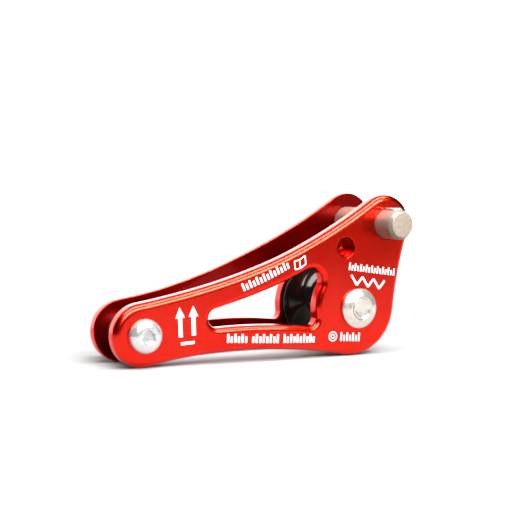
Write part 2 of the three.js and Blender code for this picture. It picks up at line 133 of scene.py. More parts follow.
TETHER_FACE = OUTER_FACE - JOGGLE_STEP
TETHER_HALF_GAP = HALF_GAP - JOGGLE_STEP
BOLT_RADIUS = 4.0
BOLT_HEAD_RADIUS = 7.0
BOLT_HEAD_HEIGHT = 4.4
BOLT_HEAD_EDGE = 0.7
BOLT_CROWN_RADIUS = 3.35
SOCKET_FLATS = 5.0
THREAD_PITCH = 1.25
THREAD_DEPTH = 0.62
BUSH_RADIUS = 7.0
NUT_WASHER_RADIUS = 8.0
NUT_WASHER_THICKNESS = 1.6
NUT_FLATS = 13.0
NUT_HEIGHT = 6.0
COLLAR_RADIUS = 5.8
COLLAR_HEIGHT = 2.0
BOLT_PAST_COLLAR = 1.0

PIN_RADIUS = 6.35
PIN_TIP = OUTER_FACE + 11.5
PIN_HEAD_SEAT = OUTER_FACE + 0.2
PIN_HEAD_RADIUS = 8.0
PIN_HEAD_HEIGHT = 4.0
PIN_HEAD_CHAMFER = 0.8
PLUNGER_GAP = 0.1
PLUNGER_RAMP = 1.6
PLUNGER_RAMP_DROP = 1.0
PLUNGER_EDGE = 0.3
PLUNGER_SLOT_DEPTH = 8.0

PRINT_LIFT = 0.03
PRINT_SINK = 0.02

CAMERA_AZIMUTH = -29.54
CAMERA_ELEVATION = 3.98
CAMERA_ROLL = 0.57
CAMERA_LENS = 93.57
CAMERA_DISTANCE = 541.65
CAMERA_TARGET = shifted(TETHER, 47.13, 30.93)


# ---- Small mesh tools ---------------------------------------------------------------------------


def joggle(x):
    """How far the plate has stepped inwards at x, and how fast that changes."""

    def past(corner):
        s = max(0.0, x - corner + BEND_HALF_LENGTH)
        if s < 2 * BEND_HALF_LENGTH:
            return s * s / (4 * BEND_HALF_LENGTH), s / (2 * BEND_HALF_LENGTH)
        return s - BEND_HALF_LENGTH, 1.0

    start, end = past(RAMP_START), past(RAMP_END)
    slope = JOGGLE_STEP / (RAMP_END - RAMP_START)
    return JOGGLE_STEP - slope * (start[0] - end[0]), -slope * (start[1] - end[1])


def finished(name, mesh, material, body, slot, *nodes):
    """Makes a piece of a mesh: its material, its body and the CAD nodes it stands for. The slot argument is
    not used.
    """
    obj = bpy.data.objects.new(name, mesh)
    bpy.context.collection.objects.link(obj)
    mesh.materials.append(material)
    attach(obj, body)
    if nodes:
        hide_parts(*nodes)
    return obj


def smooth_mesh(bm, name, angle=30.0):
    """Turns a bmesh in millimetres into a mesh in metres, smooth except where it is sharp."""
    bm.normal_update()
    bmesh.ops.recalc_face_normals(bm, faces=bm.faces)
    bmesh.ops.scale(bm, vec=(MM, MM, MM), verts=bm.verts)
    mesh = bpy.data.meshes.new(name)
    bm.to_mesh(mesh)
    bm.free()
    mesh.shade_smooth()
    mesh.set_sharp_from_angle(angle=math.radians(angle))
    return mesh


def softened(profile, radius, closed=False, steps=4):
    """Rounds the corners of a profile, each by at most the given length."""
    count = len(profile)
    result = []
    for i, here in enumerate(profile):
        at_end = not closed and i in (0, count - 1)
        if at_end:
            result.append(here)
            continue
        here = Vector(here)
        before = Vector(profile[i - 1])
        after = Vector(profile[(i + 1) % count])
        reach = min(radius, (before - here).length * 0.45, (after - here).length * 0.45)
        start = here + (before - here).normalized() * reach
        end = here + (after - here).normalized() * reach
        for k in range(steps + 1):
            t = k / steps
            point = start * (1 - t) ** 2 + here * 2 * t * (1 - t) + end * t * t
            result.append((point.x, point.y))
    return result


def revolve(profile, centre, steps=128, closed=False):
    """A mesh turned about the Y axis through centre. The profile lists (radius, y from the plane
    between the plates), and a radius may be a function of the angle. A radius of 0 is a single
    point on the axis."""
    bm = bmesh.new()
    rings = []
    for radius, height in profile:
        y = MIDDLE_Y + height
        if radius == 0:
            rings.append([bm.verts.new((centre[0], y, centre[1]))])
            continue
        ring = []
        for k in range(steps):
            angle = 2 * math.pi * k / steps
            r = radius(angle) if callable(radius) else radius
            ring.append(bm.verts.new((centre[0] + r * math.sin(angle), y, centre[1] + r * math.cos(angle))))
        rings.append(ring)
    pairs = list(zip(rings, rings[1:] + rings[:1])) if closed else list(zip(rings, rings[1:]))
    for a, b in pairs:
        skin(bm, a, b)
    return bm


def skin(bm, a, b):
    """Faces between two rings of the same count, or between a ring and a point."""
    count = max(len(a), len(b))
    for k in range(count):
        n = (k + 1) % count
        if len(a) == 1:
            bm.faces.new((a[0], b[k], b[n]))
        elif len(b) == 1:
            bm.faces.new((a[k], b[0], a[n]))
        else:
            bm.faces.new((a[k], b[k], b[n], a[n]))


def hexagon(flats):
    """The radius of a hexagon with corners up and down, as a function of the angle."""

    def radius(angle):
        return flats / 2 / math.cos(math.fmod(angle, math.pi / 3) - math.pi / 6)

    return radius


def spaced(low, high, count):
    return [low + (high - low) * k / (count - 1) for k in range(count)]


# ---- Outlines: rings of arcs --------------------------------------------------------------------


def meeting_point(a, ra, b, rb, side=1):
    """Where two circles meet, on the left (side 1) or right (side -1) of the line from a to b."""
    span = math.dist(a, b)
    along = (ra * ra - rb * rb + span * span) / (2 * span)
    across = side * math.sqrt(max(0.0, ra * ra - along * along))
    ux, uz = (b[0] - a[0]) / span, (b[1] - a[1]) / span
    return (a[0] + ux * along - uz * across, a[1] + uz * along + ux * across)


def hollow_centre(a, ra, b, rb, radius, side):
    return meeting_point(a, ra + radius, b, rb + radius, side)


TOP_CENTRE = hollow_centre(TETHER, TETHER_END_RADIUS, LOCK_PIN, LOBE_RADIUS, TOP_HOLLOW, 1)
BOTTOM_CENTRE = hollow_centre(TETHER, TETHER_END_RADIUS, HEEL, HEEL_RADIUS, BOTTOM_HOLLOW, -1)
RIGHT_CENTRE = hollow_centre(HEEL, HEEL_RADIUS, LOCK_PIN, LOBE_RADIUS, RIGHT_HOLLOW, -1)

# Arcs as (centre, radius, 1 where the centre lies inside the loop or -1 outside, straight pieces).
OUTLINE = [
    (TETHER, TETHER_END_RADIUS, 1, 56),
    (BOTTOM_CENTRE, BOTTOM_HOLLOW, -1, 60),
    (HEEL, HEEL_RADIUS, 1, 48),
    (RIGHT_CENTRE, RIGHT_HOLLOW, -1, 20),
    (LOCK_PIN, LOBE_RADIUS, 1, 44),
    (TOP_CENTRE, TOP_HOLLOW, -1, 70),
]


def corner_between(a, ra, b, rb, radius):
    return meeting_point(a, ra + radius, b, rb + radius, 1)


WINDOW = [
    (corner_between(TOP_CENTRE, WINDOW_TOP, BOTTOM_CENTRE, WINDOW_BOTTOM, WINDOW_LEFT_RADIUS),
     WINDOW_LEFT_RADIUS, 1, 28),
    (BOTTOM_CENTRE, WINDOW_BOTTOM, -1, 30),
    (corner_between(BOTTOM_CENTRE, WINDOW_BOTTOM, WHEEL, BOSS_RADIUS, WINDOW_LOW_RADIUS),
     WINDOW_LOW_RADIUS, 1, 24),
    (WHEEL, BOSS_RADIUS, -1, 20),
    (corner_between(WHEEL, BOSS_RADIUS, TOP_CENTRE, WINDOW_TOP, WINDOW_HIGH_RADIUS),
     WINDOW_HIGH_RADIUS, 1, 28),
    (TOP_CENTRE, WINDOW_TOP, -1, 34),
]


def loop_points(arcs, offset):
    """Points of a loop when all its arcs are moved outwards by offset."""
    grown = [(c, r + bulge * offset, bulge, steps) for c, r, bulge, steps in arcs]
    joints = []
    for here, after in zip(grown, grown[1:] + grown[:1]):
        joints.append(meeting_point(here[0], here[1], after[0], after[1]))
    points = []
    for i, (centre, radius, bulge, steps) in enumerate(grown):
        first, last = joints[i - 1], joints[i]
        start = math.atan2(first[1] - centre[1], first[0] - centre[0])
        end = math.atan2(last[1] - centre[1], last[0] - centre[0])
        sweep = bulge * ((bulge * (end - start)) % (2 * math.pi))
        for k in range(steps):
            angle = start + sweep * k / steps
            points.append((centre[0] + radius * math.cos(angle), centre[1] + radius * math.sin(angle)))
    return points


def circle_points(centre, radius, steps=72):
    angles = [2 * math.pi * k / steps for k in range(steps)]
    return [(centre[0] + radius * math.cos(a), centre[1] + radius * math.sin(a)) for a in angles]


# ---- Plates -------------------------------------------------------------------------------------

# Material index for the blind recess's deep faces, which take a darker red as painted shade.
RECESS_SHADE_MATERIAL = 1


def filleted_section(fillet, steps=10):
    """[how far the wall is cut back, depth below the outer face], from the inner to the outer face."""
    inner = [(INNER_EDGE * (1 - math.sin(a)), PLATE_THICKNESS - INNER_EDGE * (1 - math.cos(a)))
             for a in spaced(0, math.pi / 2, 4)]
    outer = [(fillet * (1 - math.cos(a)), fillet * (1 - math.sin(a)))
             for a in spaced(0, math.pi / 2, steps + 1)]
    return inner + outer


BORE_SECTION = [
    (BORE_CHAMFER, PLATE_THICKNESS),
    (0, PLATE_THICKNESS - BORE_CHAMFER),
    (0, BORE_CHAMFER),
    (BORE_CHAMFER, 0),
]
RECESS_SECTION = [
    (RECESS_RADIUS + BORE_CHAMFER, 0),
    (RECESS_RADIUS + 0.1, BORE_CHAMFER * 0.4),
    (RECESS_RADIUS, BORE_CHAMFER),
    (RECESS_RADIUS, RECESS_STEP_DEPTH),
    (RECESS_FLOOR_RADIUS + 0.15, RECESS_STEP_DEPTH),
    (RECESS_FLOOR_RADIUS, RECESS_STEP_DEPTH + 0.15),
    (RECESS_FLOOR_RADIUS, RECESS_FLOOR_DEPTH - 0.15),
    (RECESS_FLOOR_RADIUS - 0.15, RECESS_FLOOR_DEPTH),
    (CENTRE_MARK_RADIUS, RECESS_FLOOR_DEPTH),
    (CENTRE_MARK_RADIUS - 0.25, RECESS_FLOOR_DEPTH + CENTRE_MARK_DEPTH * 0.35),
    (CENTRE_MARK_RADIUS / 3, RECESS_FLOOR_DEPTH + CENTRE_MARK_DEPTH),
]


def bend_cuts(bm):
    """Cuts a flat plate or mark across X, closely along the two bends."""
    for corner in (RAMP_START, RAMP_END):
        for x in spaced(corner - BEND_HALF_LENGTH, corner + BEND_HALF_LENGTH, 13):
            bmesh.ops.bisect_plane(
                bm, geom=bm.verts[:] + bm.edges[:] + bm.faces[:], dist=1e-5,
                plane_co=(x, 0, 0), plane_no=(1, 0, 0))


def joggled(bm, side):
    """Places (x, depth, z) vertices on the front (side -1) or rear (side 1) plate."""
    for v in bm.verts:
        v.co.y = MIDDLE_Y + side * (OUTER_FACE - joggle(v.co.x)[0] - v.co.y)


def plate_mesh(name, side):
    bm = bmesh.new()

    def wall(section, ring_at):
        rings = []
        for cut, depth in section:
            rings.append([bm.verts.new((x, depth, z)) for x, z in ring_at(cut)])
        for a, b in zip(rings, rings[1:]):
            skin(bm, a, b)
        return rings[0], rings[-1]

    def bore(centre, pin_radius):
        return wall(BORE_SECTION, lambda cut: circle_points(centre, pin_radius + CLEARANCE + cut))

    def face(loops):
        verts = [v for loop in loops for v in loop]
        for triangle in tessellate_polygon([[Vector((v.co.x, v.co.z, 0)) for v in loop] for loop in loops]):
            bm.faces.new([verts[i] for i in triangle])

    through = [
        wall(filleted_section(OUTLINE_FILLET), lambda cut: loop_points(OUTLINE, -cut)),
        wall(filleted_section(WINDOW_FILLET), lambda cut: loop_points(WINDOW, cut)),
        bore(TETHER, BOLT_RADIUS),
        bore(WHEEL, AXLE_RADIUS),
        bore(LOCK_PIN, PIN_RADIUS),
    ]
    outer_walls = len(bm.faces)
    mouth, centre_mark = wall(RECESS_SECTION, lambda radius: circle_points(RECESS, radius))
    face([centre_mark])
    face([pair[0] for pair in through])
    # Recess faces deeper than the mouth's chamfer take the darker red: painted shade inside the recess.
    for inside in list(bm.faces)[outer_walls:]:
        if min(v.co.y for v in inside.verts) > BORE_CHAMFER * 0.9:
            inside.material_index = RECESS_SHADE_MATERIAL
    face([pair[1] for pair in through] + [mouth])
    bend_cuts(bm)
    bm.normal_update()
    bmesh.ops.recalc_face_normals(bm, faces=bm.faces)
    flat = [abs(f.normal.y) > 0.9999 for f in bm.faces]
    facing = [-f.normal.y for f in bm.faces]
    joggled(bm, side)
    bm.normal_update()
    bmesh.ops.recalc_face_normals(bm, faces=bm.faces)
    bm.normal_update()
    normals = plate_normals(bm, flat, facing, side)
    bmesh.ops.scale(bm, vec=(MM, MM, MM), verts=bm.verts)
    mesh = bpy.data.meshes.new(name)
    bm.to_mesh(mesh)
    bm.free()
    mesh.shade_smooth()
    mesh.normals_split_custom_set(normals)
    return mesh


def plate_normals(bm, flat, facing, side, limit=math.cos(math.radians(32))):
    """One normal per face corner: exact on the two broad faces and smooth round the fillets."""
    bm.faces.index_update()

    def broad(face, vert):
        slope = joggle(vert.co.x)[1]
        outward = side * math.copysign(1.0, facing[face.index])
        return Vector((slope * side, 1, 0)).normalized() * outward

    result = []
    for face in bm.faces:
        for loop in face.loops:
            vert = loop.vert
            if flat[face.index]:
                result.append(broad(face, vert))
                continue
            total = Vector()
            for other in vert.link_faces:
                if other.normal.dot(face.normal) < limit:
                    continue
                if flat[other.index]:
                    total = broad(other, vert)
                    break
                total += other.normal * other.calc_area()
            result.append(total.normalized())
    return result


# ---- Printed marks ------------------------------------------------------------------------------


def mark_bar(start, end, width):
    """A straight bar between two points, as a polygon."""
    a, b = Vector(start), Vector(end)
    side = (b - a).orthogonal().normalized() * width / 2
    return [a - side, b - side, b + side, a + side]


def mark_arrow(base, tip):
    """An arrow with a triangular head, as a polygon."""
    head_length, shaft_half_width, head_half_width = 4.3, 0.85, 2.0
    a, b = Vector(base), Vector(tip)
    along = (b - a).normalized()
    neck = b - along * head_length
    shaft = along.orthogonal() * shaft_half_width
    barb = along.orthogonal() * head_half_width
    return [a - shaft, a + shaft, neck + shaft, neck + barb, b, neck - barb, neck - shaft]


def mark_ring(centre, outer, width, steps=36):
    """Short bars that go round a circle."""
    middle = outer - width / 2
    points = [Vector(p) for p in circle_points(centre, middle, steps)]
    pieces = []
    for a, b in zip(points, points[1:] + points[:1]):
        reach = (b - a) * 0.03
        pieces.append(mark_bar(a - reach, b + reach, width))
    return pieces


def bars_along(start, end, count, height, width, sag=0.0, skip=()):
    """Upright bars that stand on a line from start to end, which may sag in the middle."""
    a, b = Vector(start), Vector(end)
    up = (b - a).orthogonal().normalized()
    pieces = []
    for k in range(count):
        if k in skip:
            continue
        t = (k + 0.5) / count
        foot = a.lerp(b, t) - up * sag * 4 * t * (1 - t)
        tall = height * (1.0 if k % 2 == 0 else 0.72)
        pieces.append(mark_bar(foot, foot + up * tall, width))
    return pieces


def mark_shapes():
    """All the printed marks, as polygons in (x, z) from the tether bolt's axis."""
    shapes = [mark_arrow((15.7, -1.2), (15.1, 10.85)), mark_arrow((21.3, -0.7), (20.9, 11.3))]
    shapes.append(mark_bar((15.8, -3.9), (21.6, -3.5), 1.2))
    shapes += bars_along((42.4, 16.4), (63.6, 25.7), 14, 3.3, 0.85, sag=0.35)
    left, fold, right = Vector((65.9, 24.8)), Vector((68.4, 25.3)), Vector((71.0, 27.0))
    up = Vector((-0.45, 3.5))
    for a, b in ((left, fold), (fold, right), (left + up, fold + up), (fold + up, right + up),
                 (left, left + up), (fold, fold + up), (right, right + up)):
        shapes.append(mark_bar(a, b, 0.5))
    shapes += bars_along((35.2, -4.3), (76.0, -6.2), 26, 3.6, 0.9, skip=(6, 15))
    shapes += mark_ring((84.9, -4.1), 2.1, 0.4) + mark_ring((84.9, -4.1), 1.0, 0.4)
    shapes += bars_along((88.2, -6.2), (98.7, -6.9), 7, 3.6, 0.8)
    shapes += bars_along((92.0, 23.9), (116.2, 20.6), 17, 3.1, 0.7)
    zigzag = [Vector((93.8 + 2.85 * k, (19.0, 15.2)[k % 2] - 0.5 * k)) + Vector((0, 2.6)) for k in range(7)]
    for a, b in zip(zigzag, zigzag[1:]):
        shapes.append(mark_bar(a, b, 0.9))
    return shapes


def marks_mesh(name):
    bm = bmesh.new()
    for shape in mark_shapes():
        low = [bm.verts.new((TETHER[0] + x, PRINT_SINK, TETHER[1] + z)) for x, z in shape]
        high = [bm.verts.new((TETHER[0] + x, -PRINT_LIFT, TETHER[1] + z)) for x, z in shape]
        skin(bm, low, high)
        bm.faces.new(low)
        bm.faces.new(high)
    bm.normal_update()
    bmesh.ops.triangulate(bm, faces=bm.faces)
    bend_cuts(bm)
    joggled(bm, -1)
    return smooth_mesh(bm, name)


# ---- Materials ----------------------------------------------------------------------------------


class Look:
    """A procedural material on one Principled shader."""

    def __init__(self, name, metallic, **constants):
        self.material = bpy.data.materials.new(name)
        self.material.use_nodes = True
        self.tree = self.material.node_tree
        self.shader = self.tree.nodes["Principled BSDF"]
        self.shader.inputs["Metallic"].default_value = metallic
        for socket, value in constants.items():
            self.shader.inputs[socket.replace("_", " ")].default_value = value
        self.place = self.tree.nodes.new("ShaderNodeTexCoord").outputs["Object"]

    def stretched(self, scale):
        mapping = self.tree.nodes.new("ShaderNodeMapping")
        mapping.inputs["Scale"].default_value = scale
        self.tree.links.new(self.place, mapping.inputs["Vector"])
        return mapping.outputs["Vector"]

    def noise(self, scale, detail=4.0, roughness=0.55, vector=None):
        noise = self.tree.nodes.new("ShaderNodeTexNoise")
        noise.inputs["Scale"].default_value = scale
        noise.inputs["Detail"].default_value = detail
        noise.inputs["Roughness"].default_value = roughness
        self.tree.links.new(vector or self.place, noise.inputs["Vector"])
        return noise.outputs["Fac"]

    def ramp(self, value, low, high, start=0.3, end=0.7):
        """Runs a value from one colour or number to another."""
        ramp = self.tree.nodes.new("ShaderNodeMapRange" if isinstance(low, float) else "ShaderNodeValToRGB")
        if isinstance(low, float):
            ramp.inputs["From Min"].default_value = start
            ramp.inputs["From Max"].default_value = end
            ramp.inputs["To Min"].default_value = low
            ramp.inputs["To Max"].default_value = high
            self.tree.links.new(value, ramp.inputs["Value"])
            return ramp.outputs["Result"]
        ramp.color_ramp.elements[0].position = start
        ramp.color_ramp.elements[0].color = (*low, 1)
        ramp.color_ramp.elements[1].position = end
        ramp.color_ramp.elements[1].color = (*high, 1)
        self.tree.links.new(value, ramp.inputs["Fac"])
        return ramp.outputs["Color"]

    def colour(self, value):
        self.tree.links.new(value, self.shader.inputs["Base Color"])
        return self

    def rough(self, value):
        self.tree.links.new(value, self.shader.inputs["Roughness"])
        return self

    def bump(self, value, strength, height):
        bump = self.tree.nodes.new("ShaderNodeBump")
        bump.inputs["Strength"].default_value = strength
        bump.inputs["Distance"].default_value = height * MM
        self.tree.links.new(value, bump.inputs["Height"])
        self.tree.links.new(bump.outputs["Normal"], self.shader.inputs["Normal"])
        return self


def red_anodised(name, dark, light, rough, coat):
    look = Look(name, 1.0, Coat_Weight=coat, Coat_Roughness=0.04, Coat_IOR=1.6)
    cloud = look.noise(60, 3)
    grain = look.noise(5200, 2)
    look.colour(look.ramp(cloud, dark, light))
    look.rough(look.ramp(grain, rough * 0.85, rough * 1.15))
    return look.bump(grain, 0.12, 0.01).material


def black_anodised():
    look = Look("black_anodised", 0.7, Coat_Weight=0.04, Coat_Roughness=0.04)
    turning = look.noise(1, 3, vector=look.stretched((0, 4200, 0)))
    look.colour(look.ramp(look.noise(300), (0.008, 0.006, 0.005), (0.020, 0.016, 0.013)))
    look.rough(look.ramp(turning, 0.10, 0.16))
    return look.bump(turning, 0.08, 0.01).material


def steel(name, dark, light, rough, grain_scale=900, bump=0.12, metallic=0.8):
    look = Look(name, metallic)
    blotch = look.noise(grain_scale, 6, 0.65)
    look.colour(look.ramp(blotch, dark, light))
    look.rough(look.ramp(look.noise(grain_scale * 2.5, 3), rough * 0.8, rough * 1.35))
    return look.bump(blotch, bump, 0.02).material


def turned_steel():
    look = Look("turned_steel", 0.8)
    rings = look.noise(1, 3, vector=look.stretched((0, 5200, 0)))
    blotch = look.noise(700, 6, 0.6)
    look.colour(look.ramp(blotch, (0.52, 0.48, 0.42), (0.70, 0.67, 0.61)))
    look.rough(look.ramp(blotch, 0.16, 0.26))
    return look.bump(rings, 0.15, 0.01).material


def brushed_steel():
    """The lock pin: a ground shank, and an end face with a paler colour than the shank."""
    look = Look("brushed_steel", 0.4)
    blotch = look.noise(1300, 6, 0.65)
    shank = look.ramp(blotch, (0.11, 0.10, 0.08), (0.21, 0.19, 0.15))
    end = look.ramp(blotch, (0.20, 0.16, 0.12), (0.33, 0.28, 0.22))
    tip = (MIDDLE_Y - PIN_TIP) * MM
    split = look.tree.nodes.new("ShaderNodeSeparateXYZ")
    look.tree.links.new(look.place, split.inputs["Vector"])
    on_end = look.ramp(split.outputs["Y"], 1.0, 0.0, tip + 0.05 * MM, tip + 0.15 * MM)
    mix = look.tree.nodes.new("ShaderNodeMix")
    mix.data_type = "RGBA"
    look.tree.links.new(on_end, mix.inputs["Factor"])
    look.tree.links.new(shank, mix.inputs["A"])
    look.tree.links.new(end, mix.inputs["B"])
    look.colour(mix.outputs["Result"])
    look.rough(look.ramp(look.noise(3200, 3), 0.34, 0.50))
    return look.bump(blotch, 0.25, 0.02).material


def matte(name, low, high, rough, scale=900, **constants):
    look = Look(name, 0.0, **constants)
    speck = look.noise(scale, 5)
    look.colour(look.ramp(speck, low, high))
    look.rough(look.ramp(speck, rough * 0.85, rough * 1.15))
    return look.bump(speck, 0.1, 0.02).material


RED = red_anodised("red_anodised", (0.72, 0.009, 0.001), (0.80, 0.014, 0.002), 0.225, 0.24)
# A darker, duller copy of the red for the recess's deep faces: painted shade, not a different dye.
RECESS_SHADE_RED = red_anodised("red_anodised_painted_recess_shade", (0.26, 0.002, 0.001), (0.32, 0.003, 0.001), 0.3, 0.12)
BLACK = black_anodised()
TURNED = turned_steel()
BRIGHT = steel("bright_steel", (0.52, 0.53, 0.52), (0.70, 0.70, 0.69), 0.2)
BRUSHED = brushed_steel()
DARK = steel("dark_steel", (0.045, 0.05, 0.042), (0.12, 0.13, 0.11), 0.38)
NYLON = matte("nylon", (0.74, 0.73, 0.68), (0.84, 0.83, 0.78), 0.5)
PRINT = matte("white_print", (0.80, 0.78, 0.75), (0.95, 0.94, 0.92), 0.5, 3500)


# ---- Pieces -------------------------------------------------------------------------------------


def turned_piece(node, profile, centre, material, body, slot, closed=False, steps=128):
    """A turned piece that stands for the CAD node of nearly the same name."""
    mesh = smooth_mesh(revolve(profile, centre, steps, closed), node + "_fine")
    return finished(node + "_fine", mesh, material, body, slot, node)


def wheel_profile():
    """A wheel with two flat rims and a groove of one round arc between them."""
    half = HALF_GAP - STACK_GAP
    flange = WHEEL_RADIUS
    groove = half - WHEEL_RIM
    depth = flange - WHEEL_NECK_RADIUS
    radius = (groove * groove + depth * depth) / (2 * depth)
    spread = math.asin(groove / radius)
    hollow = [(WHEEL_NECK_RADIUS + radius * (1 - math.cos(a)), radius * math.sin(a))
              for a in spaced(-spread, spread, 48)]
    bore = AXLE_RADIUS + CLEARANCE
    return (
        [(bore, -half)]
        + softened([(bore, -half), (flange, -half), hollow[0]], 0.5)[1:-1]
        + softened([(flange, -half), hollow[0], hollow[3]], 0.35)[1:-1]
        + hollow[3:-3]
        + softened([hollow[-4], hollow[-1], (flange, half)], 0.35)[1:-1]
        + softened([hollow[-1], (flange, half), (bore, half)], 0.5)[1:-1]
        + [(bore, half)]
    )


def axle_profile():
    """A plain axle whose two ends are riveted over and dished."""
    end = OUTER_FACE + AXLE_PROUD
    half = [
        (AXLE_RADIUS, end - 0.25),
        (AXLE_RADIUS - 0.12, end - 0.06),
        (AXLE_RADIUS - 0.35, end),
        (AXLE_RADIUS - 0.75, end - 0.08),
        (AXLE_RADIUS - 1.15, end - 0.34),
        (AXLE_RADIUS - 1.9, end - 0.46),
        (AXLE_RADIUS - 3.2, end - 0.5),
        (0, end - 0.5),
    ]
    return [(r, -y) for r, y in reversed(half)] + half


def washer_profile(side):
    """A washer with a short straight edge and a face that slopes up to the axle."""
    seat = OUTER_FACE + STACK_GAP
    bore = AXLE_RADIUS + 0.06
    profile = softened([
        (bore, seat),
        (AXLE_WASHER_RADIUS, seat),
        (AXLE_WASHER_RADIUS, seat + 1.15),
        (AXLE_WASHER_RADIUS - 0.4, seat + 1.5),
        (AXLE_WASHER_RADIUS - 3.0, seat + 3.0),
        (bore, seat + 3.1),
    ], 0.35, closed=True)
    return [(r, side * y) for r, y in profile]


def bolt_profile():
    """A button-head screw: hex socket, domed head, shank and a thread under the nut."""
    seat = TETHER_FACE + STACK_GAP
    top = seat + BOLT_HEAD_HEIGHT
    shoulder = BOLT_HEAD_RADIUS - BOLT_CROWN_RADIUS
    rise = BOLT_HEAD_HEIGHT - BOLT_HEAD_EDGE
    dome = [(BOLT_CROWN_RADIUS + shoulder * math.sin(a), -(seat + BOLT_HEAD_EDGE + rise * math.cos(a)))
            for a in spaced(0, math.pi / 2, 16)]
    nut_seat = seat + NUT_WASHER_THICKNESS + STACK_GAP
    bolt_end = nut_seat + NUT_HEIGHT + COLLAR_HEIGHT + BOLT_PAST_COLLAR

    def thread(y, lead_in=0.6, tip_cut=0.5):
        def radius(angle):
            phase = (y / THREAD_PITCH + angle / (2 * math.pi)) % 1.0
            tip = max(0.0, min(1.0, (bolt_end - y) / lead_in))
            return BOLT_RADIUS - THREAD_DEPTH * (1 - abs(2 * phase - 1)) - tip_cut * (1 - tip)
        return radius

    wall = hexagon(SOCKET_FLATS)
    socket = [
        (0, -top + 3.6),
        (hexagon(SOCKET_FLATS - 0.1), -top + 2.8),
        (wall, -top + 2.6),
        (wall, -top + 0.55),
        (lambda a: min(2.98, wall(a) + 0.18), -top + 0.22),
        (3.02, -top + 0.02),
        (3.12, -top),
    ]
    shank = [
        (BOLT_HEAD_RADIUS, -seat - 0.15),
        (BOLT_HEAD_RADIUS - 0.15, -seat),
        (BOLT_RADIUS, -seat),
        (BOLT_RADIUS, nut_seat - 0.4),
    ]
    screw = [(thread(y), y) for y in spaced(nut_seat, bolt_end, 60)]
    return socket + dome + shank + screw + [(0, bolt_end)]


def nut_profile():
    """A hexagon nut whose corners are turned down at both ends."""
    low = TETHER_FACE + 2 * STACK_GAP + NUT_WASHER_THICKNESS
    high = low + NUT_HEIGHT
    outline = hexagon(NUT_FLATS)
    end_radius, slope = 6.2, 0.42

    def capped(limit):
        return lambda angle: min(limit, outline(angle))

    limits = spaced(end_radius, end_radius + 1.4, 9)
    lower = [(capped(c), low + (c - end_radius) * slope) for c in limits]
    upper = [(capped(c), high - (c - end_radius) * slope) for c in reversed(limits)]
    bore = BOLT_RADIUS + CLEARANCE
    return [(bore, low + 0.3), (bore + 0.4, low)] + lower + upper + [(bore + 0.4, high), (bore, high - 0.3)]


def lock_pin_profile():
    """A pin with a long chamfer at its front tip and a flat head at the rear."""
    cut, length = 1.1, 1.8
    head, head_end = PIN_HEAD_RADIUS, PIN_HEAD_SEAT + PIN_HEAD_HEIGHT
    return softened([
        (0, -PIN_TIP),
        (PIN_RADIUS - cut, -PIN_TIP),
        (PIN_RADIUS, -PIN_TIP + length),
        (PIN_RADIUS, PIN_HEAD_SEAT - 0.4),
        (PIN_RADIUS, PIN_HEAD_SEAT),
        (head, PIN_HEAD_SEAT),
        (head, head_end - PIN_HEAD_CHAMFER),
        (head - PIN_HEAD_CHAMFER, head_end),
        (0, head_end),
    ], 0.25)


def bolt_ring(outer, low, high, edge):
    """A plain ring on the tether bolt, between two heights."""
    inner = BOLT_RADIUS + CLEARANCE
    return softened([(inner, low), (outer, low), (outer, high), (inner, high)], edge, closed=True)


def block(low, high):
    """A box between two corners."""
    bm = bmesh.new()
    bmesh.ops.create_cube(bm, size=1.0)
    for v in bm.verts:
        v.co = Vector(low) + (v.co + Vector((0.5, 0.5, 0.5))) * (Vector(high) - Vector(low))
    return bm


def without(mesh, cutter_mesh, name):
    """The mesh with the cutter's shape taken out of it."""
    whole = bpy.data.objects.new(name, mesh)
    cutter = bpy.data.objects.new(name + "_cutter", cutter_mesh)
    for obj in (whole, cutter):
        bpy.context.collection.objects.link(obj)
    modifier = whole.modifiers.new("cut", "BOOLEAN")
    modifier.operation = "DIFFERENCE"
    modifier.solver = "EXACT"
    modifier.object = cutter
    evaluated = whole.evaluated_get(bpy.context.evaluated_depsgraph_get())
    result = bpy.data.meshes.new_from_object(evaluated)
    for obj in (whole, cutter):
        bpy.data.objects.remove(obj)
    result.shade_smooth()
    result.set_sharp_from_angle(angle=math.radians(30))
    return result


def plunger_corners():
    return (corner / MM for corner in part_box("lock_pin_plunger"))


def lock_pin_mesh():
    """The pin with the plunger's slot cut into its top."""
    low, high = plunger_corners()
    gap = PLUNGER_GAP
    slot = block((low.x - gap, low.y - gap, LOCK_PIN[1] + PIN_RADIUS - PLUNGER_SLOT_DEPTH),
                 (high.x + gap, high.y + gap, LOCK_PIN[1] + 2 * PIN_RADIUS))
    whole = smooth_mesh(revolve(lock_pin_profile(), LOCK_PIN), "lock_pin_whole")
    return without(whole, smooth_mesh(slot, "slot"), "lock_pin_fine")


def plunger_mesh():
    """A bar with a ramp at each end and rounded edges."""
    low, high = plunger_corners()
    ramp_foot = high.z - PLUNGER_RAMP_DROP
    side = [(low.y, low.z), (high.y, low.z), (high.y, ramp_foot), (high.y - PLUNGER_RAMP, high.z),
            (low.y + PLUNGER_RAMP, high.z), (low.y, ramp_foot)]
    bm = bmesh.new()
    a = [bm.verts.new((low.x, y, z)) for y, z in side]
    b = [bm.verts.new((high.x, y, z)) for y, z in side]
    skin(bm, a, b)
    bm.faces.new(a)
    bm.faces.new(b)
    bm.normal_update()
    bmesh.ops.recalc_face_normals(bm, faces=bm.faces)
    bmesh.ops.bevel(bm, geom=bm.edges[:], offset=PLUNGER_EDGE, segments=4, profile=0.5, affect="EDGES")
    return smooth_mesh(bm, "plunger", 40)


